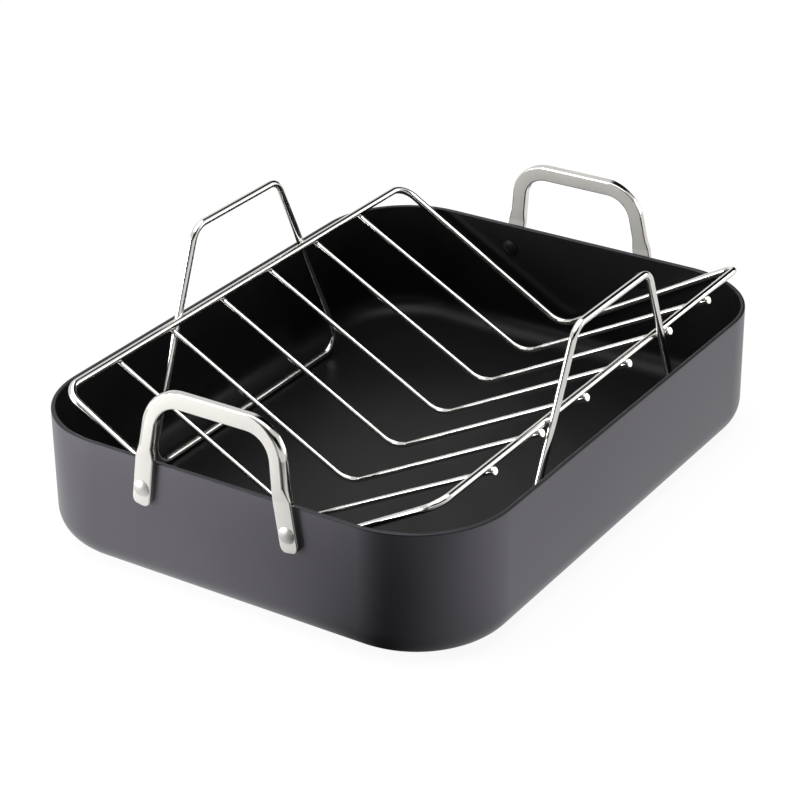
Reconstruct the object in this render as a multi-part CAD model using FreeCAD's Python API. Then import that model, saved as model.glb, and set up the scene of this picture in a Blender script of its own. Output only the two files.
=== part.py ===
import FreeCAD, Part
import math
import os

Vector = FreeCAD.Vector

# Roasting pan with a lift-out wire rack. Lengths are in millimetres, angles in degrees.
# The origin is under the middle of the pan, X runs along it from handle to handle and Z is up.

# Pan: a drawn shell with upright walls, rounded corners and a rounded bottom edge
pan_length = 400.0
pan_width = 308.0
pan_height = 83.0
pan_wall = 3.0
pan_floor = 3.0
pan_corner_radius = 62.0
pan_base_radius = 18.5
rim_rounding = 0.8

# Rivets: a shank through the wall and the handle's pad, with a low dome at each end
rivet_spacing = 101.0
rivet_below_rim = 17.0
rivet_shank_diameter = 6.0
rivet_hole_clearance = 0.1
rivet_head_diameter = 10.0
rivet_head_edge = 0.5
rivet_head_crown = 1.2
rivet_tail_diameter = 11.5
rivet_tail_edge = 0.5
rivet_tail_crown = 1.4

# Handles: a bar bent to an arch that leans over the pan, rounder along its outer front edge, with its ends
# flattened to pads
pad_width = 12.4
pad_thickness = 4.0
pad_below_rivet = 11.0
pad_end_bulge = 2.7
pad_corner_rounding = 1.6
neck_above_rim = 3.5
neck_length = 7.0
grip_rise = 48.8
grip_width = 10.0
grip_depth = 5.7
grip_outer_bend = 27.4
grip_inner_bend = 15.2
bar_edge_rounding = 0.9
outer_front_rounding = 2.4
leg_splay = 8.3
grip_lean = 7.0
left_handle_offset = 1.8
right_handle_offset = -5.8

# Rack: a frame of two rails with a V at each end, V wires under the rails and a loop on each side
frame_wire_diameter = 4.8
cross_wire_diameter = 3.6
loop_wire_diameter = 4.8
weld_depth = 0.3
rack_floor_gap = 0.3
rack_corner_gap = 3.2
rack_foot_inset = 2.1
rack_shift_x = 6.0
rack_shift_y = -1.3
rail_height = 93.5
frame_slope = 30.0
cross_wire_slope = 28.1
cross_wire_count = 6
cross_wire_reach = 3.8
button_diameter = 5.6
button_thickness = 2.2
button_rounding = 0.8
frame_corner_bend = 12.0
valley_bend = 20.0
loop_height = 147.6
loop_splay = 23.6
loop_tilt = 1.2
loop_bend = 13.0
loop_to_cross_wire = 12.2

# Working allowances: how far cuts run past the metal, and how close two places count as one
cut_overrun = 5.0
same_place = 0.001

# Places on the pan's end wall that the handles and rivets share
end_wall = pan_length / 2
rivet_level = pan_height - rivet_below_rim
neck_bottom = pan_height + neck_above_rim
neck_top = neck_bottom + neck_length
grip_top = pan_height + grip_rise
leg_slope = math.tan(math.radians(leg_splay))
leg_stretch = 1 / math.cos(math.radians(leg_splay))

# Rack heights: the feet stand on the pan's floor
rack_base = pan_floor + rack_floor_gap
rail_level = rack_base + rail_height
foot_level = rack_base + loop_wire_diameter / 2
loop_top_level = rack_base + loop_height - loop_wire_diameter / 2

# Rack width: the feet stand inside the edge of the flat floor and the rails lie against the loops
foot_side = pan_width / 2 - pan_base_radius - rack_foot_inset - abs(rack_shift_y)
loop_plane = foot_side + (rail_level - foot_level) * math.tan(math.radians(loop_tilt))
rail_side = loop_plane - (loop_wire_diameter + frame_wire_diameter) / 2 + weld_depth

# Rack length: the end Vs reach as far as the pan's rounded corners allow at the rim
frame_fall = math.tan(math.radians(frame_slope))
arm_at_rim = rail_side - (rail_level - pan_height) / frame_fall + abs(rack_shift_y)
corner_reach = pan_corner_radius - pan_wall - rack_corner_gap - frame_wire_diameter / 2
past_corner_centre = arm_at_rim - (pan_width / 2 - pan_corner_radius)
rack_limit = end_wall - pan_corner_radius + math.sqrt(corner_reach ** 2 - past_corner_centre ** 2)
rail_end = rack_limit - abs(rack_shift_x)
cross_wire_pitch = 2 * rail_end / (cross_wire_count + 1)


def corner_bend(before, corner, after, radius):
    """Start, middle and end of the tangent arc that rounds one corner of a path."""
    arriving = (corner - before).normalize()
    leaving = (after - corner).normalize()
    half_turn = arriving.getAngle(leaving) / 2
    inward = (leaving - arriving).normalize()
    centre = corner + inward * (radius / math.cos(half_turn))
    tangent = radius * math.tan(half_turn)
    return corner - arriving * tangent, centre - inward * radius, corner + leaving * tangent


def bent_path(points, radii, closed):
    """Straight edges joined by tangent arcs. A corner with no radius stays sharp."""
    bends = []
    for index, point in enumerate(points):
        if radii[index]:
            after = points[(index + 1) % len(points)]
            bends.append(corner_bend(points[index - 1], point, after, radii[index]))
        else:
            bends.append((point, None, point))
    edges = []
    place = bends[-1][2] if closed else None
    for start, middle, end in bends:
        if place is not None:
            edges.append(Part.makeLine(place, start))
        if middle is not None:
            edges.append(Part.Arc(start, middle, end).toShape())
        place = end
    return edges


def round_wire(edges, diameter):
    """Solid wire along a bent path: a rod for each straight run and part of a ring for each bend."""
    pieces = []
    for edge in edges:
        start = edge.valueAt(edge.FirstParameter)
        heading = edge.tangentAt(edge.FirstParameter)
        section = Part.Face(Part.Wire(Part.makeCircle(diameter / 2, start, heading)))
        if isinstance(edge.Curve, Part.Circle):
            turn = math.degrees(edge.LastParameter - edge.FirstParameter)
            pieces.append(section.revolve(edge.Curve.Center, edge.Curve.Axis, turn))
        else:
            pieces.append(section.extrude(heading * edge.Length))
    return pieces[0].multiFuse(pieces[1:]).Solids[0]


def level_edges(shape, level):
    """Edges that lie flat at one height."""
    found = []
    for edge in shape.Edges:
        box = edge.BoundBox
        if abs(box.ZMin - level) < same_place and abs(box.ZMax - level) < same_place:
            found.append(edge)
    return found


def rounded_block(length, width, bottom, top, corner_radius, base_radius):
    """Upright block with rounded plan corners and a rounded bottom edge."""
    block = Part.makeBox(length, width, top - bottom, Vector(-length / 2, -width / 2, bottom))
    upright = [edge for edge in block.Edges if edge.BoundBox.ZLength > same_place]
    block = block.makeFillet(corner_radius, upright)
    return block.makeFillet(base_radius, level_edges(block, bottom))


def at_end(shape, side, offset):
    """Place a piece made for the +X end at either end of the pan, shifted along the wall."""
    if side < 0:
        shape = shape.rotated(Vector(), Vector(0, 0, 1), 180)
    return shape.translated(Vector(0, offset, 0))


def rivet_bore(side, offset, place):
    """Cutter for one rivet hole through the wall and the pad. place is -1 for front, 1 for back."""
    start = Vector(end_wall - pan_wall - cut_overrun, 0, rivet_level)
    length = pan_wall + pad_thickness + 2 * cut_overrun
    radius = rivet_shank_diameter / 2 + rivet_hole_clearance
    bore = Part.makeCylinder(radius, length, start, Vector(1, 0, 0))
    return at_end(bore, side, offset + place * rivet_spacing / 2)


def pan_body():
    """The pan with its cavity, rounded rim and rivet holes."""
    outside = rounded_block(pan_length, pan_width, 0, pan_height, pan_corner_radius, pan_base_radius)
    cavity = rounded_block(pan_length - 2 * pan_wall, pan_width - 2 * pan_wall, pan_floor,
                           pan_height + cut_overrun, pan_corner_radius - pan_wall,
                           pan_base_radius - pan_floor)
    shell = outside.cut(cavity)
    shell = shell.makeFillet(rim_rounding, level_edges(shell, pan_height))
    for side, offset in handle_places.values():
        for place in rivet_places.values():
            shell = shell.cut(rivet_bore(side, offset, place))
    return shell.Solids[0]


def leg_middle(level):
    """Distance from the handle's middle to a leg's middle line, which passes the rivet."""
    return rivet_spacing / 2 - (level - rivet_level) * leg_slope


def side_face_edges(plate, thickness, left_out_level):
    """Long edges of a plate that stands in the YZ plane, without those of its cut end."""
    ends = level_edges(plate, left_out_level)
    found = []
    for edge in plate.Edges:
        box = edge.BoundBox
        on_side = box.XLength < same_place and (box.XMin > thickness / 2 or box.XMax < thickness / 2)
        if on_side and not any(edge.isSame(end) for end in ends):
            found.append(edge)
    return found


def handle_pad(place):
    """Flattened end of the bar on the wall, with a bulged lower end."""
    half = pad_width / 2 * leg_stretch
    tip = rivet_level - pad_below_rivet
    shoulder = tip + pad_end_bulge
    top_middle = leg_middle(neck_bottom)
    low_middle = leg_middle(shoulder)
    corners = [Vector(0, low_middle + half, shoulder), Vector(0, top_middle + half, neck_bottom),
               Vector(0, top_middle - half, neck_bottom), Vector(0, low_middle - half, shoulder)]
    edges = [Part.makeLine(first, second) for first, second in zip(corners, corners[1:])]
    edges.append(Part.Arc(corners[3], Vector(0, leg_middle(tip), tip), corners[0]).toShape())
    plate = Part.Face(Part.Wire(edges)).extrude(Vector(pad_thickness, 0, 0))
    lower = [edge for edge in plate.Edges
             if edge.BoundBox.XLength > same_place and edge.BoundBox.ZMax < rivet_level]
    plate = plate.makeFillet(pad_corner_rounding, lower)
    plate = plate.makeFillet(bar_edge_rounding, side_face_edges(plate, pad_thickness, neck_bottom))
    return plate if place > 0 else plate.mirror(Vector(), Vector(0, 1, 0))


def arch_edges(arch, opening, outer_front):
    """Long edges of the upright arch: those on its outer front, away from the opening, or all the others."""
    found = []
    for edge in side_face_edges(arch, grip_depth, neck_top):
        outside = edge.distToShape(opening)[0] > grip_width / 2
        if (outside and edge.BoundBox.XMin > grip_depth / 2) == outer_front:
            found.append(edge)
    return found


def handle_arch():
    """The bar above the necks, upright: two legs that lean together and a level grip."""
    half = grip_width / 2 * leg_stretch
    under = grip_top - grip_width
    outer = [(leg_middle(neck_top) + half, neck_top, 0),
             (leg_middle(grip_top) + half, grip_top, grip_outer_bend)]
    inner = [(leg_middle(under) - half, under, grip_inner_bend),
             (leg_middle(neck_top) - half, neck_top, 0)]
    other_outer = [(-y, z, radius) for y, z, radius in reversed(outer)]
    other_inner = [(-y, z, radius) for y, z, radius in reversed(inner)]
    inside = other_inner + inner
    outline = outer + other_outer + inside
    points = [Vector(0, y, z) for y, z, radius in outline]
    edges = bent_path(points, [radius for y, z, radius in outline], True)
    arch = Part.Face(Part.Wire(edges)).extrude(Vector(grip_depth, 0, 0))
    front = [Vector(grip_depth, y, z) for y, z, radius in inside]
    opening = Part.Wire(bent_path(front, [radius for y, z, radius in inside], False))
    arch = arch.makeFillet(bar_edge_rounding, arch_edges(arch, opening, False))
    return arch.makeFillet(outer_front_rounding, arch_edges(arch, opening, True))


def end_face(shape, level, place):
    """Flat end of a leg or pad at one height, on the front or back side."""
    for face in shape.Faces:
        box = face.BoundBox
        flat = abs(box.ZMin - level) < same_place and abs(box.ZMax - level) < same_place
        if flat and box.Center.y * place > 0:
            return face
    raise ValueError("no end face at this height")


def handle(side, offset):
    """One handle: the arch leans over the pan and a neck blends each leg into its pad."""
    pivot = Vector(0, 0, neck_bottom)
    upright = handle_arch()
    pieces = [upright.rotated(pivot, Vector(0, 1, 0), -grip_lean)]
    for place in rivet_places.values():
        pad = handle_pad(place)
        leg_end = end_face(upright, neck_top, place).rotated(pivot, Vector(0, 1, 0), -grip_lean)
        sections = [end_face(pad, neck_bottom, place).OuterWire, leg_end.OuterWire]
        pieces.append(pad)
        pieces.append(Part.makeLoft(sections, True, True))
    bar = pieces[0].multiFuse(pieces[1:]).translated(Vector(end_wall, 0, 0))
    bar = at_end(bar, side, offset)
    for place in rivet_places.values():
        bar = bar.cut(rivet_bore(side, offset, place))
    return bar.Solids[0]


def dome_arc(base, height, radius):
    """Arc from a dome's edge to its top, which lies at height along X from the base."""
    sphere = (radius ** 2 + height ** 2) / (2 * abs(height))
    half_angle = math.asin(radius / sphere) / 2
    rise = abs(height) - sphere + sphere * math.cos(half_angle)
    middle = Vector(base + math.copysign(rise, height), 0, sphere * math.sin(half_angle))
    return Part.Arc(Vector(base, 0, radius), middle, Vector(base + height, 0, 0)).toShape()


def rivet(side, offset, place):
    """One rivet, turned about its axis: inner dome, shank and outer dome."""
    tail_seat = end_wall - pan_wall
    tail_base = tail_seat - rivet_tail_edge
    head_seat = end_wall + pad_thickness
    head_base = head_seat + rivet_head_edge
    tail_radius = rivet_tail_diameter / 2
    shank_radius = rivet_shank_diameter / 2
    head_radius = rivet_head_diameter / 2
    steps = [Vector(tail_base, 0, tail_radius), Vector(tail_seat, 0, tail_radius),
             Vector(tail_seat, 0, shank_radius), Vector(head_seat, 0, shank_radius),
             Vector(head_seat, 0, head_radius), Vector(head_base, 0, head_radius)]
    edges = [Part.makeLine(first, second) for first, second in zip(steps, steps[1:])]
    edges.append(dome_arc(head_base, rivet_head_crown, head_radius))
    edges.append(Part.makeLine(Vector(head_base + rivet_head_crown, 0, 0),
                               Vector(tail_base - rivet_tail_crown, 0, 0)))
    edges.append(dome_arc(tail_base, -rivet_tail_crown, tail_radius))
    profile = Part.Face(Part.Wire(Part.__sortEdges__(edges)))
    solid = profile.revolve(Vector(), Vector(1, 0, 0), 360).translated(Vector(0, 0, rivet_level))
    return at_end(solid, side, offset + place * rivet_spacing / 2)


def in_pan(shape):
    """Move a rack piece to where the rack stands in the pan."""
    return shape.translated(Vector(rack_shift_x, rack_shift_y, 0))


def rack_frame():
    """Closed loop of wire: two rails joined by an upright V at each end."""
    valley = rail_level - rail_side * frame_fall
    points = []
    radii = []
    for end in (rail_end, -rail_end):
        sides = (-rail_side, rail_side) if end > 0 else (rail_side, -rail_side)
        points += [Vector(end, sides[0], rail_level), Vector(end, 0, valley),
                   Vector(end, sides[1], rail_level)]
        radii += [frame_corner_bend, valley_bend, frame_corner_bend]
    return round_wire(bent_path(points, radii, True), frame_wire_diameter)


def wire_button(tip, inward):
    """Rounded button at a wire's end, half of it past the tip."""
    start = tip - inward * (button_thickness / 2)
    button = Part.makeCylinder(button_diameter / 2, button_thickness, start, inward)
    rims = [edge for edge in button.Edges if isinstance(edge.Curve, Part.Circle)]
    return button.makeFillet(button_rounding, rims)


def rack_cross_wire(along):
    """V wire that passes under both rails and ends in a small button just outside each one."""
    fall = math.tan(math.radians(cross_wire_slope))
    under_rail = (frame_wire_diameter + cross_wire_diameter) / 2 - weld_depth
    valley = rail_level - under_rail / math.cos(math.radians(cross_wire_slope)) - rail_side * fall
    tip_side = rail_side + cross_wire_reach
    tip_level = valley + tip_side * fall
    points = [Vector(along, -tip_side, tip_level), Vector(along, 0, valley),
              Vector(along, tip_side, tip_level)]
    wire = round_wire(bent_path(points, [0, valley_bend, 0], False), cross_wire_diameter)
    for tip in (points[0], points[2]):
        wire = wire.fuse(wire_button(tip, (points[1] - tip).normalize()))
    return wire


def rack_loop(side):
    """Closed trapezoid outside a rail, tilted out a little: a lifting grip above and a foot bar below."""
    spread = math.tan(math.radians(loop_splay))
    at_rail = cross_wire_pitch * (cross_wire_count - 3) / 2 - loop_to_cross_wire
    grip_half = at_rail - (loop_top_level - rail_level) * spread
    foot_half = at_rail + (rail_level - foot_level) * spread
    plane = side * loop_plane
    points = [Vector(grip_half, plane, loop_top_level), Vector(-grip_half, plane, loop_top_level),
              Vector(-foot_half, plane, foot_level), Vector(foot_half, plane, foot_level)]
    loop = round_wire(bent_path(points, [loop_bend] * len(points), True), loop_wire_diameter)
    return loop.rotated(Vector(0, plane, rail_level), Vector(1, 0, 0), -side * loop_tilt)


# Which end each handle is on with its offset along the wall, and which side each rivet is on
handle_places = {"left": (-1, left_handle_offset), "right": (1, right_handle_offset)}
rivet_places = {"front": -1, "back": 1}

nodes = {"pan_body": pan_body()}
for end_name, (side, offset) in handle_places.items():
    nodes[f"{end_name}_handle"] = handle(side, offset)
    for place_name, place in rivet_places.items():
        nodes[f"{end_name}_{place_name}_rivet"] = rivet(side, offset, place)

# The welded wires have a shallow saddle where each one meets the frame
frame = rack_frame()
nodes["rack_frame"] = in_pan(frame)
for number in range(cross_wire_count):
    along = (number - (cross_wire_count - 1) / 2) * cross_wire_pitch
    nodes[f"rack_cross_wire_{number + 1}"] = in_pan(rack_cross_wire(along).cut(frame).Solids[0])
for place_name, side in rivet_places.items():
    nodes[f"rack_{place_name}_loop"] = in_pan(rack_loop(side).cut(frame).Solids[0])

os.makedirs("parts", exist_ok=True)
for name, shape in nodes.items():
    shape.exportStep(f"parts/{name}.step")
    print(name, round(shape.Volume), shape.isValid(), len(shape.Solids))
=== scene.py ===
"""Roasting pan with a lift-out wire rack: detailed meshes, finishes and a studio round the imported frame.

Meshes are built in millimetres, in the frame's own axes, and turned to metres when a piece is made.
"""

import logging
import math
from dataclasses import dataclass, field
from enum import Enum, IntEnum

import bmesh
import bpy
from bmesh.types import BMEdge, BMesh, BMVert
from mathutils import Matrix, Vector


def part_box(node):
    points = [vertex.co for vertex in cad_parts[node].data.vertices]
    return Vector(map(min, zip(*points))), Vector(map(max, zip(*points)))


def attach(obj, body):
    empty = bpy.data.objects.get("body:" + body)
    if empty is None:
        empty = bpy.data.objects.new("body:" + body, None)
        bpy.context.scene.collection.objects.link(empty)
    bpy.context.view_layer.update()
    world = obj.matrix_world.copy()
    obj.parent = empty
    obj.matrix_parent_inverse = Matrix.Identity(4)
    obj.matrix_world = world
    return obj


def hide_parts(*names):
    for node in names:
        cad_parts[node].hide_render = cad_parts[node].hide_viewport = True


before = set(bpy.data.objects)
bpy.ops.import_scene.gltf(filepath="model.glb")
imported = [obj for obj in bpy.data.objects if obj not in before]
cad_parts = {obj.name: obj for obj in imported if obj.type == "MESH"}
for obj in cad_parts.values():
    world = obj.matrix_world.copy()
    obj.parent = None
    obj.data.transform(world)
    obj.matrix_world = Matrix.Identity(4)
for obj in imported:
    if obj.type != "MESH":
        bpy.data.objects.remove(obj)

LOG = logging.getLogger("roasting_pan")
MM = 0.001
# Places closer than this, in millimetres, count as one.
TOUCH = 0.01
# Edges that turn by more than this stay crisp.
CREASE = math.radians(35)
QUARTER_TURN = math.radians(90)
# Numbers of the Mix node's sockets for colours, which share their names with its other sockets.
MIX_DARK, MIX_LIGHT, MIX_RESULT = 6, 7, 2


class Body(Enum):
    """Bodies of the frame that pieces ride on."""

    PAN = "pan"
    RACK = "rack"


class Slot(Enum):
    """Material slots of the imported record."""

    PAN = "anodised_aluminium"
    HANDLE = "handle_steel"
    RIVET = "rivet_steel"
    WIRE = "rack_wire"


class End(IntEnum):
    """End of the pan along X."""

    LEFT = -1
    RIGHT = 1


class Side(IntEnum):
    """Side of the pan along Y."""

    FRONT = -1
    BACK = 1


class PanZone(IntEnum):
    """Material index of each zone of the pan's shell."""

    OUTSIDE = 0
    INSIDE = 1
    RIM = 2


class BarZone(IntEnum):
    """Material index of each zone of a handle's bar."""

    FACE = 0
    EDGE = 1


class RivetZone(IntEnum):
    """Material index of each end of a rivet."""

    HEAD = 0
    TAIL = 1


def linear(colour: str) -> tuple[float, float, float, float]:
    """Turn an sRGB hex colour to linear light.

    Args:
        colour: Six hex digits after a hash sign.

    Returns:
        Red, green, blue and an alpha of one.
    """
    channels = [int(colour[place:place + 2], 16) / 255 for place in (1, 3, 5)]
    red, green, blue = (c / 12.92 if c <= 0.04045 else ((c + 0.055) / 1.055) ** 2.4 for c in channels)
    return red, green, blue, 1.0


def per_size(size: float) -> float:
    """Texture scale whose pattern repeats about once in a size in millimetres."""
    return 1 / (size * MM)


def empty_tree(owner: bpy.types.Material | bpy.types.World) -> bpy.types.NodeTree:
    """Give a new material or world an empty node tree.

    Args:
        owner: The material or world.

    Returns:
        Its node tree.
    """
    owner.use_nodes = True
    owner.node_tree.nodes.clear()
    return owner.node_tree


def add_node(tree: bpy.types.NodeTree, kind: str, settings: dict | None = None,
             inputs: dict | None = None) -> bpy.types.Node:
    """Add one shader node with its settings and links.

    Args:
        tree: Node tree that gets the node.
        kind: Blender's name of the node type.
        settings: Properties of the node by name.
        inputs: Input sockets by name or number, each with a value or the socket that feeds it.

    Returns:
        The new node.
    """
    node = tree.nodes.new(kind)
    for name, value in (settings or {}).items():
        setattr(node, name, value)
    for key, value in (inputs or {}).items():
        if isinstance(value, bpy.types.NodeSocket):
            tree.links.new(value, node.inputs[key])
        else:
            node.inputs[key].default_value = value
    return node


def soft_region(tree: bpy.types.NodeTree,
                bounds: list[tuple[bpy.types.NodeSocket, float, float]]) -> bpy.types.NodeSocket:
    """Mask a region with soft bounds: one inside all of them, zero outside any.

    Args:
        tree: Node tree that gets the mask.
        bounds: For each bound the socket that it follows, its value just outside and its value just inside.

    Returns:
        The socket with the mask.
    """
    mask = 1.0
    for value, outside, inside in bounds:
        ramp = add_node(tree, "ShaderNodeMapRange", {"interpolation_type": "SMOOTHSTEP"}, {
            "Value": value, "From Min": outside, "From Max": inside}).outputs["Result"]
        mask = add_node(tree, "ShaderNodeMath", {"operation": "MULTIPLY"}, {0: mask, 1: ramp}).outputs[0]
    return mask


def level_heading(angle: float) -> tuple[float, float, float]:
    """Level direction at an angle in degrees from the X axis."""
    return math.cos(math.radians(angle)), math.sin(math.radians(angle)), 0.0


def box_mm(node: str) -> tuple[Vector, Vector]:
    """Lowest and highest corner of a node of the frame, in millimetres."""
    low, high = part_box(node)
    return low / MM, high / MM


def aimed(place: Vector, heading: Vector, axis: str = "Z") -> Matrix:
    """Pose at a place, with one of its axes along a heading."""
    return Matrix.Translation(place) @ heading.to_track_quat(axis, "Y").to_matrix().to_4x4()


def at_end_wall(end: End, across: float, level: float) -> Matrix:
    """Find the pose at an end wall for a mesh whose X points outwards from the wall's outer face.

    Args:
        end: End of the pan.
        across: Place along Y.
        level: Height.

    Returns:
        The pose, turned half round at the left end.
    """
    wall = box_mm("pan_body")[1].x
    turn = Matrix.Rotation(math.pi if end is End.LEFT else 0.0, 4, "Z")
    return Matrix.Translation((0, across, level)) @ turn @ Matrix.Translation((wall, 0, 0))


@dataclass(frozen=True)
class Finish:
    """A real material and how its surface was made.

    A fine grain and broad clouds vary the tone and the gloss, and the grain also gives the relief. The sizes
    of the grain, the clouds and the relief are in millimetres.
    """

    name: str
    dark: str
    light: str
    metallic: float
    roughness: tuple[float, float]
    grain: float
    cloud: float
    relief: float
    specular: float = 0.5
    grain_share: float = 0.7
    grain_detail: float = 3.0
    grain_roughness: float = 0.6
    cloud_share: float = 0.9
    cloud_detail: float = 2.0
    blend_shift: float = -0.3
    relief_strength: float = 0.4

    def material(self) -> bpy.types.Material:
        """Make the node material.

        Returns:
            A new material that reads Object coordinates.
        """
        made = bpy.data.materials.new(self.name)
        tree = empty_tree(made)
        place = add_node(tree, "ShaderNodeTexCoord").outputs["Object"]
        grain = add_node(tree, "ShaderNodeTexNoise", inputs={
            "Vector": place, "Scale": per_size(self.grain), "Detail": self.grain_detail,
            "Roughness": self.grain_roughness}).outputs["Fac"]
        cloud = add_node(tree, "ShaderNodeTexNoise", inputs={
            "Vector": place, "Scale": per_size(self.cloud), "Detail": self.cloud_detail}).outputs["Fac"]
        clouds = add_node(tree, "ShaderNodeMath", {"operation": "MULTIPLY_ADD"}, {
            0: cloud, 1: self.cloud_share, 2: self.blend_shift}).outputs[0]
        blend = add_node(tree, "ShaderNodeMath", {"operation": "MULTIPLY_ADD", "use_clamp": True}, {
            0: grain, 1: self.grain_share, 2: clouds}).outputs[0]
        tone = add_node(tree, "ShaderNodeMix", {"data_type": "RGBA"}, {
            0: blend, MIX_DARK: linear(self.dark), MIX_LIGHT: linear(self.light)}).outputs[MIX_RESULT]
        gloss = add_node(tree, "ShaderNodeMapRange", inputs={
            "Value": blend, "To Min": self.roughness[0], "To Max": self.roughness[1]}).outputs["Result"]
        relief = add_node(tree, "ShaderNodeBump", inputs={
            "Strength": self.relief_strength, "Distance": self.relief * MM,
            "Height": grain}).outputs["Normal"]
        surface = add_node(tree, "ShaderNodeBsdfPrincipled", inputs={
            "Base Color": tone, "Metallic": self.metallic, "Roughness": gloss,
            "Specular IOR Level": self.specular, "Normal": relief})
        add_node(tree, "ShaderNodeOutputMaterial", inputs={"Surface": surface.outputs["BSDF"]})
        return made


# Hard-anodised aluminium, blasted before the bath: a dull purple-grey with a soft sheen and a fine grit.
# The grit is really about 0.1 mm and is drawn coarser so that it shows.
ANODISED = Finish("hard_anodised_aluminium_blasted", dark="#636167", light="#6d6b71", metallic=0.9,
                  roughness=(0.34, 0.38), grain=1.1, cloud=90.0, relief=0.01)
# The rim is trimmed and lapped before the bath, and its colour is set darker than the wall's.
TRIMMED_RIM = Finish("hard_anodised_aluminium_trimmed", dark="#313034", light="#3a393d", metallic=0.9,
                     roughness=(0.30, 0.36), grain=1.1, cloud=60.0, relief=0.01)
# Non-stick coating, sprayed and baked: near black and half glossy, with the faint orange peel of a film.
NON_STICK = Finish("non_stick_coating_sprayed", dark="#121113", light="#1a191b", metallic=0.0,
                   roughness=(0.32, 0.40), grain=1.8, cloud=70.0, relief=0.03, specular=0.17)
# Stainless steel bar, its broad faces linished: an even, nearly white sheen that mirrors nothing clearly.
SATIN_BAR = Finish("stainless_steel_linished", dark="#dad8d4", light="#e8e6e2", metallic=1.0,
                   roughness=(0.72, 0.80), grain=0.8, cloud=24.0, relief=0.004)
# The bar's narrow sides and rounded edges, buffed: sharp dark and white lines beside the even faces.
BUFFED_BAR = Finish("stainless_steel_buffed", dark="#d6d4d0", light="#e6e4e0", metallic=1.0,
                    roughness=(0.10, 0.16), grain=0.8, cloud=24.0, relief=0.002)
# Stainless steel rivet, tumbled after heading: a softer, greyer gleam than the bar.
TUMBLED_RIVET = Finish("stainless_steel_tumbled", dark="#d0cecb", light="#dedcd9", metallic=1.0,
                       roughness=(0.38, 0.46), grain=0.7, cloud=6.0, relief=0.01)
# Drawn steel wire, bright nickel plated: sharp white and dark bands along the wire, with a faint ripple.
PLATED_WIRE = Finish("steel_wire_bright_plated", dark="#dedcd8", light="#eeece9", metallic=1.0,
                     roughness=(0.08, 0.13), grain=1.6, cloud=14.0, relief=0.002)


def put_in_scene(name: str, data: bpy.types.ID) -> bpy.types.Object:
    """Make an object and link it to the scene.

    Args:
        name: Name of the object.
        data: Its mesh, camera or lamp.

    Returns:
        The new object, at the origin.
    """
    thing = bpy.data.objects.new(name, data)
    bpy.context.scene.collection.objects.link(thing)
    return thing


def finished_mesh(bm: BMesh, name: str) -> bpy.types.Mesh:
    """Turn a bmesh into a mesh.

    Args:
        bm: Bmesh, which is freed.
        name: Name of the mesh.

    Returns:
        The new mesh.
    """
    mesh = bpy.data.meshes.new(name)
    bm.to_mesh(mesh)
    bm.free()
    return mesh


def make_piece(bm: BMesh, name: str, body: Body, materials: list[bpy.types.Material],
               nodes: list[str]) -> bpy.types.Object:
    """Turn a mesh built in millimetres into a piece that rides on its body.

    Args:
        bm: Finished bmesh, which is freed. Its seams stay crisp.
        name: Name of the piece.
        body: Body that it rides on.
        materials: Materials in the order of the faces' material numbers.
        nodes: Nodes of the frame that the piece stands for.

    Returns:
        The new object, at the origin.
    """
    bmesh.ops.scale(bm, vec=(MM, MM, MM), verts=bm.verts)
    bm.normal_update()
    for face in bm.faces:
        face.smooth = True
    for edge in bm.edges:
        edge.smooth = not edge.seam and edge.calc_face_angle(0.0) < CREASE
    mesh = finished_mesh(bm, name)
    for material in materials:
        mesh.materials.append(material)
    piece = put_in_scene(name, mesh)
    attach(piece, body.value)
    if nodes:
        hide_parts(*nodes)
    return piece


def round_edges(bm: BMesh, edges: list[BMEdge], radius: float, segments: int) -> None:
    """Round some edges of a mesh to a radius."""
    bmesh.ops.bevel(bm, geom=edges, offset=radius, segments=segments, profile=0.5, affect="EDGES",
                    material=-1)


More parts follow.
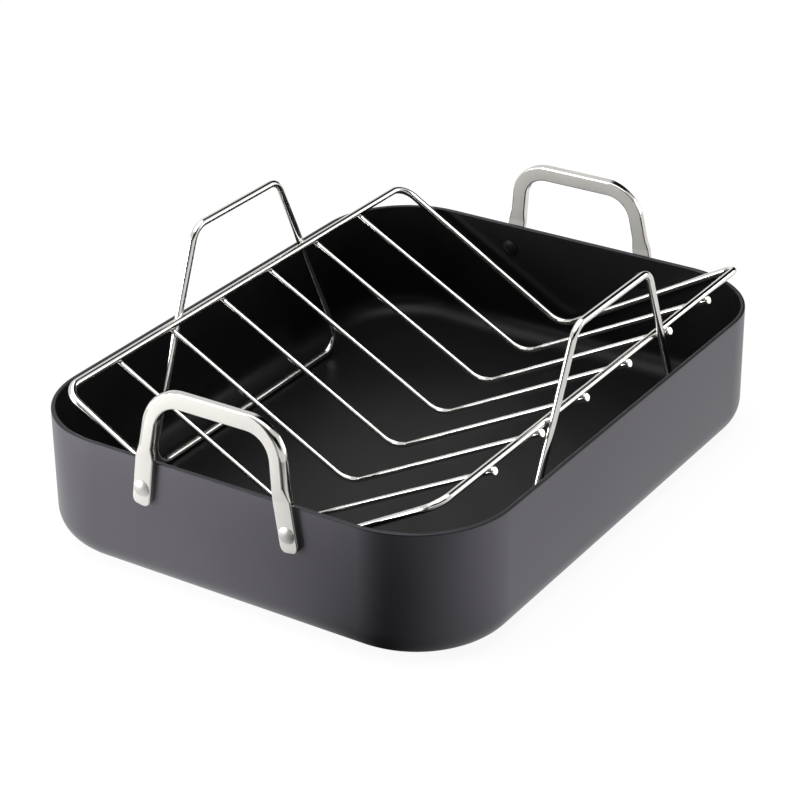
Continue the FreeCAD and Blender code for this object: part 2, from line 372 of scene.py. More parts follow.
@dataclass
class SectionSweep:
    """Pulls one closed section, a ring of edges that lies at a pose, through straight runs and bends."""

    bm: BMesh
    ring: list[BMEdge]
    pose: Matrix
    bend_step: float = math.radians(5)
    first: list[BMEdge] = field(init=False)

    def __post_init__(self) -> None:
        """Keep the first ring for the end of the sweep."""
        self.first = self.ring

    def run_to(self, pose: Matrix) -> None:
        """Pull the section straight to another pose, which may also scale it.

        Args:
            pose: Where the section ends up, in the same terms as its first pose.
        """
        made = bmesh.ops.extrude_edge_only(self.bm, edges=self.ring)["geom"]
        verts = [item for item in made if isinstance(item, BMVert)]
        bmesh.ops.transform(self.bm, matrix=pose @ self.pose.inverted(), verts=verts)
        fresh = set(verts)
        self.ring = [item for item in made if isinstance(item, BMEdge) and fresh.issuperset(item.verts)]
        self.pose = pose

    def run_by(self, step: Vector) -> None:
        """Pull the section straight along a step."""
        self.run_to(Matrix.Translation(step) @ self.pose)

    def bend(self, centre: Vector, axis: Vector, turn: float) -> None:
        """Carry the section round a bend.

        Args:
            centre: Point on the bend's axis.
            axis: Direction of the bend's axis.
            turn: Angle of the bend in radians.
        """
        verts = {vert for edge in self.ring for vert in edge.verts}
        made = bmesh.ops.spin(self.bm, geom=[*verts, *self.ring], cent=centre, axis=axis, angle=turn,
                              steps=math.ceil(turn / self.bend_step))
        self.ring = [item for item in made["geom_last"] if isinstance(item, BMEdge)]
        about = Matrix.Translation(centre)
        self.pose = about @ Matrix.Rotation(turn, 4, axis) @ about.inverted() @ self.pose

    def join(self, ring: list[BMEdge], pose: Matrix) -> None:
        """Run straight into another section, which may have another shape.

        Args:
            ring: Edges of the other section, as many as this one has.
            pose: Where the other section lies.
        """
        bmesh.ops.bridge_loops(self.bm, edges=[*self.ring, *ring])
        self.ring = ring
        self.pose = pose

    def close(self) -> None:
        """Join the last ring to the first one."""
        bmesh.ops.bridge_loops(self.bm, edges=[*self.ring, *self.first])

    def cap(self, ring: list[BMEdge]) -> None:
        """Close one ring with a flat face."""
        bmesh.ops.contextual_create(self.bm, geom=ring)


@dataclass
class BentWire:
    """Round wire along straight runs, with a bend of its own radius at each corner between two runs."""

    corners: list[Vector]
    bends: list[float]
    diameter: float
    closed: bool = False
    sides: int = 28

    def build(self, bm: BMesh) -> None:
        """Sweep the wire's round section into a mesh.

        Args:
            bm: Mesh that gets the wire.
        """
        start, stop = self.corners[0], self.corners[-1]
        route = self.corners[1:-1]
        if self.closed:
            start = stop = (stop + start) / 2
            route = self.corners
        pose = aimed(start, (route[0] - start).normalized())
        circle = bmesh.ops.create_circle(bm, segments=self.sides, radius=self.diameter / 2, matrix=pose)
        ring = list({edge for vert in circle["verts"] for edge in vert.link_edges})
        sweep = SectionSweep(bm, ring, pose)
        for corner, after, radius in zip(route, [*route[1:], stop], self.bends):
            arriving = (corner - sweep.pose.translation).normalized()
            leaving = (after - corner).normalized()
            turn = arriving.angle(leaving)
            tangent = radius * math.tan(turn / 2)
            sweep.run_by(corner - arriving * tangent - sweep.pose.translation)
            centre = corner + (leaving - arriving).normalized() * (radius / math.cos(turn / 2))
            sweep.bend(centre, arriving.cross(leaving).normalized(), turn)
        if self.closed:
            sweep.close()
        else:
            sweep.run_by(stop - sweep.pose.translation)
            sweep.cap(sweep.ring)
            sweep.cap(sweep.first)


@dataclass
class PanShell:
    """Drawn pan with upright walls, rounded corners and a rounded bottom edge."""

    wall: float = 3.0
    corner_radius: float = 62.0
    base_radius: float = 18.5
    rim_rounding: float = 0.8
    corner_segments: int = 36
    base_segments: int = 14
    rim_segments: int = 4

    def build(self) -> bpy.types.Object:
        """Model the shell and dress its outside, inside and rim.

        Returns:
            The pan's piece.
        """
        low, high = box_mm("pan_body")
        size = high - low
        bm = bmesh.new()
        block = Matrix.Translation((low + high) / 2) @ Matrix.Diagonal((*size, 1.0))
        bmesh.ops.create_cube(bm, size=1.0, matrix=block)
        upright = [edge for edge in bm.edges if abs(edge.verts[0].co.z - edge.verts[1].co.z) > size.z / 2]
        round_edges(bm, upright, self.corner_radius, self.corner_segments)
        base = [edge for edge in bm.edges if max(vert.co.z for vert in edge.verts) < low.z + TOUCH]
        round_edges(bm, base, self.base_radius, self.base_segments)
        top = [face for face in bm.faces if face.calc_center_median().z > high.z - TOUCH]
        bmesh.ops.delete(bm, geom=top, context="FACES")
        outside = set(bm.faces)
        bmesh.ops.solidify(bm, geom=bm.faces[:], thickness=self.wall)
        bm.normal_update()
        for face in bm.faces:
            face.material_index = PanZone.OUTSIDE if face in outside else PanZone.INSIDE
        arris = [edge for edge in bm.edges if min(vert.co.z for vert in edge.verts) > high.z - TOUCH
                 and edge.calc_face_angle(0.0) > CREASE]
        round_edges(bm, arris, self.rim_rounding, self.rim_segments)
        for face in bm.faces:
            if face.calc_center_median().z > high.z - self.rim_rounding:
                face.material_index = PanZone.RIM
        finishes = [ANODISED.material(), NON_STICK.material(), TRIMMED_RIM.material()]
        return make_piece(bm, "pan_shell", Body.PAN, finishes, ["pan_body"])


@dataclass
class BarHandle:
    """Bar bent to an arch that leans over the pan, with its two ends flattened to pads on the wall."""

    end: End
    rivet_spacing: float = 101.0
    rivet_level: float = 66.0
    pad_width: float = 12.4
    pad_thickness: float = 4.0
    pad_below_rivet: float = 11.0
    pad_end_round: float = 4.3
    neck_bottom: float = 86.5
    neck_length: float = 7.0
    grip_top: float = 131.8
    grip_width: float = 10.0
    grip_depth: float = 5.7
    grip_bend: float = 21.3
    edge_rounding: float = 0.9
    outer_front_rounding: float = 3.0
    leg_splay: float = 8.3
    lean: float = 7.0
    face_limit: float = 9.0
    round_by: float = 0.5
    edge_steps: int = 6
    bend_steps: int = 18
    end_share: float = 0.45
    end_steps: int = 7

    @property
    def leg_heading(self) -> Vector:
        """Direction down the back leg, before the handle leans."""
        splay = math.radians(self.leg_splay)
        return Vector((0, math.sin(splay), -math.cos(splay)))

    def leg_middle(self, level: float) -> float:
        """Distance of a leg's middle line from the handle's middle at a height."""
        return self.rivet_spacing / 2 - (level - self.rivet_level) * math.tan(math.radians(self.leg_splay))

    def section(self, bm: BMesh, pose: Matrix, size: tuple[float, float], outer_front: float) -> list[BMEdge]:
        """Make a section of the bar, a rectangle with rounded corners.

        Args:
            bm: Mesh that gets the section.
            pose: Where the section lies, with its depth along the pose's X and its inner side towards Y.
            size: Depth and width of the section.
            outer_front: Rounding of the corner on the front, away from the handle's opening.

        Returns:
            The section's edges.
        """
        before = set(bm.edges)
        # A circle of four segments, turned by half a quarter, is a square whose sides are one long.
        square = Matrix.Rotation(QUARTER_TURN / 2, 4, "Z")
        made = bmesh.ops.create_circle(bm, cap_ends=True, segments=4, radius=math.sqrt(0.5),
                                       matrix=pose @ Matrix.Diagonal((*size, 1.0, 1.0)) @ square)
        flat = pose.inverted()
        places = {vert: flat @ vert.co for vert in made["verts"]}
        front = [vert for vert, place in places.items() if place.x > 0 > place.y]
        plain = [vert for vert in places if vert not in front]
        for corners, rounding in ((plain, self.edge_rounding), (front, outer_front)):
            bmesh.ops.bevel(bm, geom=corners, offset=rounding, segments=self.edge_steps, profile=0.5,
                            affect="VERTICES", material=-1)
        ring = [edge for edge in bm.edges if edge not in before]
        bmesh.ops.delete(bm, geom=ring[0].link_faces[:], context="FACES_ONLY")
        return ring

    def half_arch(self, bm: BMesh) -> None:
        """Sweep half of the handle, from the middle of the grip to the tip of the back pad.

        The outer front edge of the bar gets rounder through the first part of the bend.

        Args:
            bm: Empty mesh that gets the half handle, as at the right end with the wall's face at zero.
        """
        level = self.grip_top - self.grip_width / 2
        depth = self.grip_depth / 2
        across = Vector((0, 1, 0))
        turn = across.angle(self.leg_heading)
        size = (self.grip_depth, self.grip_width)
        pose = Matrix.Translation((depth, 0, level)) @ Matrix.Rotation(-QUARTER_TURN, 4, "X")
        sweep = SectionSweep(bm, self.section(bm, pose, size, self.edge_rounding), pose)
        corner = Vector((depth, self.leg_middle(level), level))
        sweep.run_by(corner - across * (self.grip_bend * math.tan(turn / 2)) - sweep.pose.translation)
        start = sweep.pose
        about = Matrix.Translation(start.translation - Vector((0, 0, self.grip_bend)))
        for step in range(1, self.bend_steps + 1):
            share = step / self.bend_steps
            pose = about @ Matrix.Rotation(-turn * share, 4, "X") @ about.inverted() @ start
            growth = min(1.0, share / self.round_by)
            rounding = self.edge_rounding + (self.outer_front_rounding - self.edge_rounding) * growth
            sweep.join(self.section(bm, pose, size, rounding), pose)
        neck_top = self.neck_bottom + self.neck_length
        sweep.run_by(Vector((depth, self.leg_middle(neck_top), neck_top)) - sweep.pose.translation)
        pivot = Matrix.Translation((0, 0, self.neck_bottom))
        tilt = pivot @ Matrix.Rotation(-math.radians(self.lean), 4, "Y") @ pivot.inverted()
        bmesh.ops.transform(bm, matrix=tilt, verts=bm.verts)
        sweep.pose = tilt @ sweep.pose
        self.pad(sweep)

    def pad(self, sweep: SectionSweep) -> None:
        """Flatten the bar to its pad and round the pad's lower end.

        Args:
            sweep: Sweep that has reached the top of the neck.
        """
        top = self.pad_pose(self.neck_bottom, 1.0)
        ring = self.section(sweep.bm, top, (self.pad_thickness, self.pad_width), self.edge_rounding)
        sweep.join(ring, top)
        tip = self.rivet_level - self.pad_below_rivet
        for step in range(self.end_steps + 1):
            angle = QUARTER_TURN * step / self.end_steps
            level = tip + self.pad_end_round * (1 - math.sin(angle))
            sweep.run_to(self.pad_pose(level, self.end_share + (1 - self.end_share) * math.cos(angle)))
        sweep.cap(sweep.ring)
        for edge in ring:
            edge.seam = True

    def pad_pose(self, level: float, share: float) -> Matrix:
        """Find where the pad's section lies at a height.

        Args:
            level: Height of the section.
            share: Width of the section as a share of the pad's full width.

        Returns:
            The pose, with depth along its X and the inner side towards its Y.
        """
        outward = Vector((1, 0, 0))
        across = self.leg_heading.cross(outward) * share
        turned = Matrix((outward, across, self.leg_heading)).transposed().to_4x4()
        return Matrix.Translation((self.pad_thickness / 2, self.leg_middle(level), level)) @ turned

    def build(self) -> bpy.types.Object:
        """Model the handle at its end of the pan and dress it.

        Returns:
            The handle's piece.
        """
        node = f"{self.end.name.lower()}_handle"
        low, high = box_mm(node)
        bm = bmesh.new()
        self.half_arch(bm)
        bmesh.ops.mirror(bm, geom=[*bm.verts, *bm.edges, *bm.faces], axis="Y", merge_dist=TOUCH)
        bmesh.ops.transform(bm, matrix=at_end_wall(self.end, (low.y + high.y) / 2, 0), verts=bm.verts)
        bmesh.ops.recalc_face_normals(bm, faces=bm.faces)
        for face in bm.faces:
            broad = abs(face.normal.x) > math.cos(math.radians(self.face_limit))
            face.material_index = BarZone.FACE if broad else BarZone.EDGE
        finishes = [SATIN_BAR.material(), BUFFED_BAR.material()]
        return make_piece(bm, f"{node}_bar", Body.PAN, finishes, [node])


@dataclass
class Rivet:
    """Rivet through the wall and a pad, with a low dome at each end."""

    end: End
    side: Side
    wall: float = PanShell.wall
    pad_thickness: float = BarHandle.pad_thickness
    shank_radius: float = 3.0
    head_radius: float = 5.0
    head_edge: float = 0.5
    head_crown: float = 1.2
    tail_radius: float = 5.75
    tail_edge: float = 0.5
    tail_crown: float = 1.4
    dome_steps: int = 8
    turn_steps: int = 40

    def dome(self, bm: BMesh, seat: float, edge: float, crown: float, radius: float, zone: RivetZone) -> None:
        """Turn one end of the rivet: a short cylinder with a dome on it.

        Args:
            bm: Mesh that gets the end.
            seat: Distance from the wall's outer face to the face that the end sits on.
            edge: Height of the cylinder, negative towards the inside.
            crown: Height of the dome, negative towards the inside.
            radius: Radius of the end.
            zone: Which end it is.
        """
        before = set(bm.faces)
        sphere = (radius ** 2 + crown ** 2) / (2 * abs(crown))
        rim = bm.verts.new((seat + edge, 0, radius))
        foot = bm.verts.new((seat, 0, radius))
        root = bm.verts.new((seat, 0, self.shank_radius))
        bm.edges.new((root, foot))
        bm.edges.new((foot, rim))
        centre = Vector((seat + edge + crown - math.copysign(sphere, crown), 0, 0))
        arc = math.asin(radius / sphere)
        bmesh.ops.spin(bm, geom=[rim], cent=centre, axis=(0, 1, 0), angle=math.copysign(arc, crown),
                       steps=self.dome_steps)
        profile = [line for line in bm.edges if not line.link_faces]
        verts = {vert for line in profile for vert in line.verts}
        bmesh.ops.spin(bm, geom=[*verts, *profile], cent=(0, 0, 0), axis=(1, 0, 0), angle=2 * math.pi,
                       steps=self.turn_steps, use_merge=True)
        for face in set(bm.faces) - before:
            face.material_index = zone

    def build(self, materials: list[bpy.types.Material]) -> bpy.types.Object:
        """Model the rivet in its hole and dress both ends.

        Args:
            materials: Materials of the head and the tail.

        Returns:
            The rivet's piece.
        """
        node = f"{self.end.name.lower()}_{self.side.name.lower()}_rivet"
        low, high = box_mm(node)
        middle = (low + high) / 2
        bm = bmesh.new()
        self.dome(bm, self.pad_thickness, self.head_edge, self.head_crown, self.head_radius, RivetZone.HEAD)
        self.dome(bm, -self.wall, -self.tail_edge, -self.tail_crown, self.tail_radius, RivetZone.TAIL)
        bmesh.ops.remove_doubles(bm, verts=bm.verts, dist=TOUCH)
        rims = [edge for edge in bm.edges if edge.is_boundary]
        bmesh.ops.bridge_loops(bm, edges=rims)
        bmesh.ops.recalc_face_normals(bm, faces=bm.faces)
        bmesh.ops.transform(bm, matrix=at_end_wall(self.end, middle.y, middle.z), verts=bm.verts)
        return make_piece(bm, f"{node}_domed", Body.PAN, materials, [node])


@dataclass
class WireRack:
    """Lift-out rack: two rails joined by a V at each end, V wires under them and a loop on each side."""

    frame_wire: float = 4.8
    cross_wire: float = 3.6
    weld_depth: float = 0.3
    frame_slope: float = 30.0
    cross_slope: float = 28.1
    cross_count: int = 6
    cross_reach: float = 3.8
    button_diameter: float = 5.6
    button_thickness: float = 2.2
    button_rounding: float = 0.8
    button_segments: int = 4
    corner_bend: float = 12.0
    valley_bend: float = 20.0
    loop_bays: int = 3
    loop_splay: float = 23.6
    loop_tilt: float = 1.2
    loop_bend: float = 13.0
    loop_to_cross_wire: float = 12.2
    weld_size: tuple[float, float, float] = (2.6, 2.0, 1.5)
    weld_subdivisions: int = 3
    middle: Vector = field(init=False)
    rail_end: float = field(init=False)
    rail_side: float = field(init=False)
    rail_level: float = field(init=False)

    def __post_init__(self) -> None:
        """Take the rails' places from the frame."""
        low, high = box_mm("rack_frame")
        half = (high - low) / 2
        self.middle = Vector(((low.x + high.x) / 2, (low.y + high.y) / 2, 0))
        self.rail_end = half.x - self.frame_wire / 2
        self.rail_side = half.y - self.frame_wire / 2
        self.rail_level = high.z - self.frame_wire / 2

    @property
    def pitch(self) -> float:
        """Distance between two cross wires along the rack."""
        return 2 * self.rail_end / (self.cross_count + 1)

    @property
    def wire_numbers(self) -> range:
        """Numbers of the cross wires from the left end, from one."""
        return range(1, self.cross_count + 1)

    def wire_place(self, number: int) -> float:
        """Place of a cross wire along the rack, from the rack's middle."""
        return (number - (self.cross_count + 1) / 2) * self.pitch

    def at(self, x: float, y: float, z: float) -> Vector:
        """Point of the rack, given from the rack's own middle."""
        return self.middle + Vector((x, y, z))

    def build_frame(self, plating: bpy.types.Material) -> bpy.types.Object:
        """Bend the frame: two rails and an upright V at each end.

        Args:
            plating: Material of the wire.

        Returns:
            The frame's piece.
        """
        valley = self.rail_level - self.rail_side * math.tan(math.radians(self.frame_slope))
        levels = (self.rail_level, valley, self.rail_level)
        corners = [self.at(end * self.rail_end, side * end * self.rail_side, level)
                   for end in (End.RIGHT, End.LEFT) for side, level in zip((-1, 0, 1), levels)]
        bends = [self.corner_bend, self.valley_bend, self.corner_bend] * len(End)
        bm = bmesh.new()
        BentWire(corners, bends, self.frame_wire, closed=True).build(bm)
        bmesh.ops.recalc_face_normals(bm, faces=bm.faces)
        return make_piece(bm, "rack_frame_wire", Body.RACK, [plating], ["rack_frame"])

    def build_cross_wire(self, number: int, plating: bpy.types.Material) -> bpy.types.Object:
        """Bend one V wire under the rails and upset a button on each of its ends.

        Args:
            number: Number of the wire.
            plating: Material of the wire.

        Returns:
            The wire's piece.
        """
        slope = math.radians(self.cross_slope)
        under = (self.frame_wire + self.cross_wire) / 2 - self.weld_depth
        valley = self.rail_level - under / math.cos(slope) - self.rail_side * math.tan(slope)
        along = self.wire_place(number)
        tip = self.rail_side + self.cross_reach
        rise = tip * math.tan(slope)
        corners = [self.at(along, side * tip, valley + abs(side) * rise) for side in (-1, 0, 1)]
        bm = bmesh.new()
        BentWire(corners, [self.valley_bend], self.cross_wire).build(bm)
        for point in (corners[0], corners[2]):
            self.add_button(bm, point, (corners[1] - point).normalized())
        bmesh.ops.recalc_face_normals(bm, faces=bm.faces)
        name = f"rack_cross_wire_{number}"
        return make_piece(bm, f"{name}_bent", Body.RACK, [plating], [name])

    def add_button(self, bm: BMesh, tip: Vector, inward: Vector) -> None:
        """Add the rounded button at a wire's end.

        Args:
            bm: Mesh that gets the button.
            tip: End of the wire's middle line.
            inward: Direction from the end along the wire.
        """
        radius = self.button_diameter / 2
        made = bmesh.ops.create_cone(bm, cap_ends=True, segments=BentWire.sides, radius1=radius,
                                     radius2=radius, depth=self.button_thickness, matrix=aimed(tip, inward))
        verts = set(made["verts"])
        # Of the button's faces, only its two round ends have more than four corners.
        rims = {edge for vert in verts for edge in vert.link_edges
                if verts.issuperset(edge.verts) and any(len(face.verts) > 4 for face in edge.link_faces)}
        round_edges(bm, list(rims), self.button_rounding, self.button_segments)

    @property
    def loop_plane(self) -> float:
        """Distance of a loop's plane from the rack's middle at the rails."""
        return self.rail_side + self.frame_wire - self.weld_depth

    @property
    def loop_at_rail(self) -> float:
        """Half of the distance between a loop's legs at the rails."""
        return self.pitch * self.loop_bays / 2 - self.loop_to_cross_wire

    def build_loop(self, side: Side, plating: bpy.types.Material) -> bpy.types.Object:
        """Bend one loop: a grip above the rail, two splayed legs and a foot bar.

        Args:
            side: Side of the rack.
            plating: Material of the wire.

        Returns:
            The loop's piece.
        """
        name = f"rack_{side.name.lower()}_loop"
        low, high = box_mm(name)
        top, foot = high.z - self.frame_wire / 2, low.z + self.frame_wire / 2
        spread = math.tan(math.radians(self.loop_splay))
        grip_half = self.loop_at_rail - (top - self.rail_level) * spread
        foot_half = self.loop_at_rail + (self.rail_level - foot) * spread
        plane = side * self.loop_plane
        corners = [self.at(grip_half, plane, top), self.at(-grip_half, plane, top),
                   self.at(-foot_half, plane, foot), self.at(foot_half, plane, foot)]
        bm = bmesh.new()
        BentWire(corners, [self.loop_bend] * len(corners), self.frame_wire, closed=True).build(bm)
        bmesh.ops.rotate(bm, cent=self.at(0, plane, self.rail_level), verts=bm.verts,
                         matrix=Matrix.Rotation(-side * math.radians(self.loop_tilt), 3, "X"))
        bmesh.ops.recalc_face_normals(bm, faces=bm.faces)
        return make_piece(bm, f"{name}_wire", Body.RACK, [plating], [name])

    def build_welds(self, plating: bpy.types.Material) -> bpy.types.Object:
        """Model the small nuggets of metal that the spot welds squeeze out where wires cross.

        Args:
            plating: Material of the wire.

        Returns:
            One piece with all welds.
        """
        slope = math.radians(self.cross_slope)
        reach = self.frame_wire / 2 - self.weld_depth / 2
        upright = Matrix.Rotation(QUARTER_TURN, 4, "X")
        bm = bmesh.new()
        for side in Side:
            lean = Matrix.Rotation(side * slope, 4, "X")
            below = Vector((0, side * math.sin(slope), -math.cos(slope))) * reach
            for number in self.wire_numbers:
                spot = self.at(self.wire_place(number), side * self.rail_side, self.rail_level) + below
                self.add_nugget(bm, Matrix.Translation(spot) @ lean)
            for leg in (-1, 1):
                spot = self.at(leg * self.loop_at_rail, side * (self.rail_side + reach), self.rail_level)
                self.add_nugget(bm, Matrix.Translation(spot) @ upright)
        return make_piece(bm, "rack_spot_welds", Body.RACK, [plating], [])

    def add_nugget(self, bm: BMesh, pose: Matrix) -> None:
        """Add one weld nugget, flat along the pose's Z."""
        squash = Matrix.Diagonal((*self.weld_size, 1.0))
        bmesh.ops.create_icosphere(bm, subdivisions=self.weld_subdivisions, radius=1.0, matrix=pose @ squash)

    def build(self) -> list[bpy.types.Object]:
        """Model and dress the whole rack.

        Returns:
            The rack's pieces.
        """
        plating = PLATED_WIRE.material()
        pieces = [self.build_frame(plating)]
        pieces += [self.build_cross_wire(number, plating) for number in self.wire_numbers]
        pieces += [self.build_loop(side, plating) for side in Side]
        pieces.append(self.build_welds(plating))
        return pieces


@dataclass(frozen=True)
class DarkGap:
    """Dark part of the studio between its white screens, as metal mirrors it, in degrees."""

    heading: float
    half_width: float
    low: float
    high: float
    edge: float = 5.0


@dataclass(frozen=True)
class DarkPatch:
    """Round dark patch of the floor, as metal mirrors it, with its inner and outer reach in metres."""

    place: tuple[float, float, float]
    inner: float
    outer: float


@dataclass(frozen=True)
class SoftBox:
    """Soft lamp that points at the pan, with its place, width and height in metres and its power in watts."""

    name: str
    place: tuple[float, float, float]
    size: tuple[float, float]
    power: float


@dataclass
class Studio:
    """Camera at the photograph's angle, a pale floor and soft light.

    The camera's place is in millimetres, other lengths are in metres, and angles are in degrees. The wedge of
    shade on the floor starts at its apex.
    """

    camera_place: tuple[float, float, float] = (-1187.8, -765.3, 777.4)
    camera_right: tuple[float, float, float] = (0.54162, -0.84054, -0.00944)
    camera_up: tuple[float, float, float] = (0.39040, 0.24158, 0.88834)
    camera_back: tuple[float, float, float] = (-0.74444, -0.48485, 0.45901)
    lens: float = 114.66
    sensor: float = 36.0
    far_clip: float = 50.0
    floor_size: float = 8.0
    floor_colour: str = "#6f6f6f"
    floor_seen: float = 0.92
    floor_mirrored: tuple[float, float] = (0.84, 1.0)
    floor_rise: tuple[float, float] = (-0.12, 0.12)
    shade_apex: tuple[float, float, float] = (-0.145, -0.098, 0.0)
    shade_heading: float = 185.0
    shade_left: tuple[float, float] = (-78.0, 5.0)
    shade_right: tuple[float, float] = (122.0, -7.0)
    shade_reach: tuple[float, float] = (1.6, 1.1)
    patches: tuple[DarkPatch, ...] = (
        DarkPatch(place=(-0.50, -0.62, 0.0), inner=0.24, outer=0.36),
        # The second patch is painted shade: the pan's own shadow behind its right end, and its dark wall as
        # mirrored there, painted into the floor as metal mirrors it.
        DarkPatch(place=(0.32, 0.15, 0.0), inner=0.07, outer=0.15))
    ambient: float = 0.08
    gaps: tuple[DarkGap, ...] = (
        DarkGap(heading=0, half_width=23, low=-30, high=58),
        DarkGap(heading=171, half_width=13, low=-30, high=28),
        DarkGap(heading=231, half_width=48, low=18, high=50))
    lamps: tuple[SoftBox, ...] = (
        SoftBox("left_box", place=(-0.80, 0.75, 0.22), size=(0.7, 0.4), power=8.0),
        SoftBox("right_box", place=(0.95, -0.80, 0.32), size=(0.8, 0.5), power=3.0),
        SoftBox("top_box", place=(0.0, 0.15, 1.50), size=(1.7, 1.8), power=19.0))
    lamp_aim: tuple[float, float, float] = (0.0, 0.0, 0.05)

    def build_camera(self) -> None:
        """Place the camera and make it the scene's own."""
        data = bpy.data.cameras.new("camera")
        data.lens = self.lens
        data.sensor_width = self.sensor
        data.clip_end = self.far_clip
        camera = put_in_scene("camera", data)
        turned = Matrix((self.camera_right, self.camera_up, self.camera_back)).transposed().to_4x4()
        camera.matrix_world = Matrix.Translation(Vector(self.camera_place) * MM) @ turned
        bpy.context.scene.camera = camera

    def build_floor(self) -> None:
        """Lay a floor that keeps the object's shadow, white to the camera and shaded in reflections."""
        bm = bmesh.new()
        bmesh.ops.create_grid(bm, x_segments=1, y_segments=1, size=self.floor_size / 2)
        mesh = finished_mesh(bm, "floor")
        floor = put_in_scene("floor", mesh)
        # Paper, matt: an even sheet that shows nothing but the shadow.
        paper = bpy.data.materials.new("paper_floor_matt")
        tree = empty_tree(paper)
        path = add_node(tree, "ShaderNodeLightPath").outputs
        mirrored = add_node(tree, "ShaderNodeEmission", inputs={"Strength": self.mirrored_floor(tree)})
        to_camera = add_node(tree, "ShaderNodeMath", {"operation": "MULTIPLY"}, {
            0: path["Is Camera Ray"], 1: self.floor_seen}).outputs[0]
        seen = add_node(tree, "ShaderNodeEmission", inputs={"Strength": to_camera})
        dull = add_node(tree, "ShaderNodeBsdfDiffuse", inputs={"Color": linear(self.floor_colour)})
        plain = add_node(tree, "ShaderNodeAddShader", inputs={0: dull.outputs[0], 1: seen.outputs[0]})
        in_mirror = add_node(tree, "ShaderNodeMath", {"operation": "MAXIMUM"}, {
            0: path["Is Glossy Ray"], 1: path["Is Transmission Ray"]}).outputs[0]
        sheet = add_node(tree, "ShaderNodeMixShader", inputs={
            0: in_mirror, 1: plain.outputs[0], 2: mirrored.outputs[0]})
        add_node(tree, "ShaderNodeOutputMaterial", inputs={"Surface": sheet.outputs[0]})
        mesh.materials.append(paper)

    def mirrored_floor(self, tree: bpy.types.NodeTree) -> bpy.types.NodeSocket:
        """Shade the floor as metal mirrors it: white, dimmer in front, with a dark wedge and dark patches.

        Args:
            tree: Node tree of the floor's material.

        Returns:
            The socket with the brightness.
        """
        place = add_node(tree, "ShaderNodeTexCoord").outputs["Object"]
        away = add_node(tree, "ShaderNodeVectorMath", {"operation": "SUBTRACT"}, {
            0: place, 1: self.shade_apex}).outputs[0]
        ahead, aside = (add_node(tree, "ShaderNodeVectorMath", {"operation": "DOT_PRODUCT"}, {
            0: away, 1: level_heading(self.shade_heading + turn)}).outputs["Value"] for turn in (0, 90))
        angle = add_node(tree, "ShaderNodeMath", {"operation": "ARCTAN2"}, {0: aside, 1: ahead}).outputs[0]
        reach = add_node(tree, "ShaderNodeVectorMath", {"operation": "LENGTH"}, {0: away}).outputs["Value"]
        left, right = (map(math.radians, side) for side in (self.shade_left, self.shade_right))
        shades = [[(angle, *left), (angle, *right), (reach, *self.shade_reach)]]
        for patch in self.patches:
            distance = add_node(tree, "ShaderNodeVectorMath", {"operation": "DISTANCE"}, {
                0: place, 1: patch.place}).outputs["Value"]
            shades.append([(distance, patch.outer, patch.inner)])
        dark = 0.0
        for shade in shades:
            dark = add_node(tree, "ShaderNodeMath", {"operation": "MAXIMUM"}, {
                0: dark, 1: soft_region(tree, shade)}).outputs[0]
        across = add_node(tree, "ShaderNodeSeparateXYZ", inputs={0: place}).outputs["Y"]
        lit = add_node(tree, "ShaderNodeMapRange", {"interpolation_type": "SMOOTHSTEP"}, {
            "Value": across, "From Min": self.floor_rise[0], "From Max": self.floor_rise[1],
            "To Min": self.floor_mirrored[0], "To Max": self.floor_mirrored[1]}).outputs["Result"]
        return add_node(tree, "ShaderNodeMapRange", inputs={
            "Value": dark, "To Min": lit, "To Max": 0.0}).outputs["Result"]

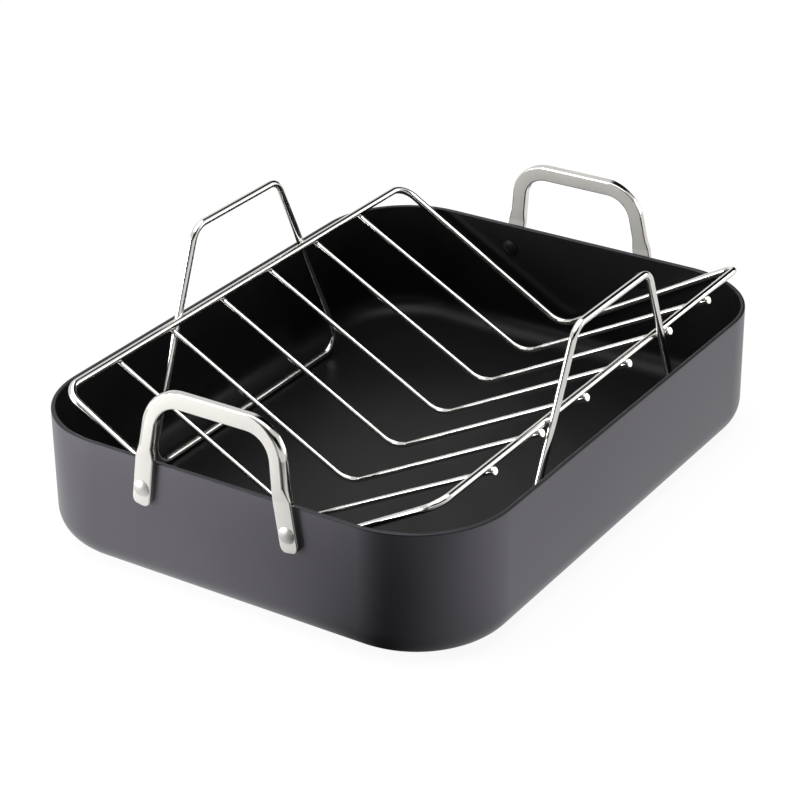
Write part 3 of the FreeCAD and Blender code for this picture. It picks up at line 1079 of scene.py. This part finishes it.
    def build_world(self) -> None:
        """Surround the set with white screens, with dark gaps between them where metal mirrors them."""
        world = bpy.data.worlds.new("studio")
        bpy.context.scene.world = world
        tree = empty_tree(world)
        path = add_node(tree, "ShaderNodeLightPath").outputs
        around = add_node(tree, "ShaderNodeTexCoord").outputs["Generated"]
        height = add_node(tree, "ShaderNodeSeparateXYZ", inputs={0: around}).outputs["Z"]
        level = add_node(tree, "ShaderNodeVectorMath", {"operation": "MULTIPLY"}, {
            0: around, 1: (1.0, 1.0, 0.0)}).outputs[0]
        flat = add_node(tree, "ShaderNodeVectorMath", {"operation": "NORMALIZE"}, {0: level}).outputs[0]
        lit = 1.0
        for gap in self.gaps:
            turned = add_node(tree, "ShaderNodeVectorMath", {"operation": "DOT_PRODUCT"}, {
                0: flat, 1: level_heading(gap.heading)}).outputs["Value"]
            wide, narrow = (math.cos(math.radians(gap.half_width + edge)) for edge in (gap.edge, -gap.edge))
            below, low, high, above = (math.sin(math.radians(angle)) for angle in (
                gap.low - gap.edge, gap.low + gap.edge, gap.high - gap.edge, gap.high + gap.edge))
            dark = soft_region(tree, [(turned, wide, narrow), (height, below, low), (height, above, high)])
            screen = add_node(tree, "ShaderNodeMath", {"operation": "SUBTRACT"}, {0: 1.0, 1: dark}).outputs[0]
            lit = add_node(tree, "ShaderNodeMath", {"operation": "MULTIPLY"}, {0: lit, 1: screen}).outputs[0]
        mirrored, white, dim = (
            add_node(tree, "ShaderNodeBackground", inputs={"Strength": strength}).outputs[0]
            for strength in (lit, 1.0, self.ambient))
        glossy = add_node(tree, "ShaderNodeMixShader", inputs={
            0: path["Is Glossy Ray"], 1: dim, 2: mirrored}).outputs[0]
        seen = add_node(tree, "ShaderNodeMath", {"operation": "MAXIMUM"}, {
            0: path["Is Camera Ray"], 1: path["Is Transmission Ray"]}).outputs[0]
        mixed = add_node(tree, "ShaderNodeMixShader", inputs={0: seen, 1: glossy, 2: white}).outputs[0]
        add_node(tree, "ShaderNodeOutputWorld", inputs={"Surface": mixed})

    def build_lamp(self, box: SoftBox) -> None:
        """Hang one soft box that points at the pan.

        Args:
            box: The lamp's place, size and power.
        """
        data = bpy.data.lights.new(box.name, "AREA")
        data.shape = "RECTANGLE"
        data.size, data.size_y = box.size
        data.energy = box.power
        place = Vector(box.place)
        put_in_scene(box.name, data).matrix_world = aimed(place, Vector(self.lamp_aim) - place, "-Z")

    def build(self) -> None:
        """Set up camera, floor, surroundings and lamps."""
        self.build_camera()
        self.build_floor()
        self.build_world()
        for box in self.lamps:
            self.build_lamp(box)
        bpy.context.scene.view_settings.view_transform = "Standard"


def main() -> None:
    """Build the pan, its handles and rivets, the rack and the studio in order, and report each piece."""
    logging.basicConfig(level=logging.INFO, format="%(name)s: %(message)s")
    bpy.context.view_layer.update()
    pieces = [PanShell().build()]
    rivet_finishes = [TUMBLED_RIVET.material(), NON_STICK.material()]
    for end in End:
        pieces.append(BarHandle(end).build())
        pieces += [Rivet(end, side).build(rivet_finishes) for side in Side]
    pieces += WireRack().build()
    Studio().build()
    for piece in pieces:
        LOG.info("%s: %d faces", piece.name, len(piece.data.polygons))


if __name__ == "__main__":
    main()
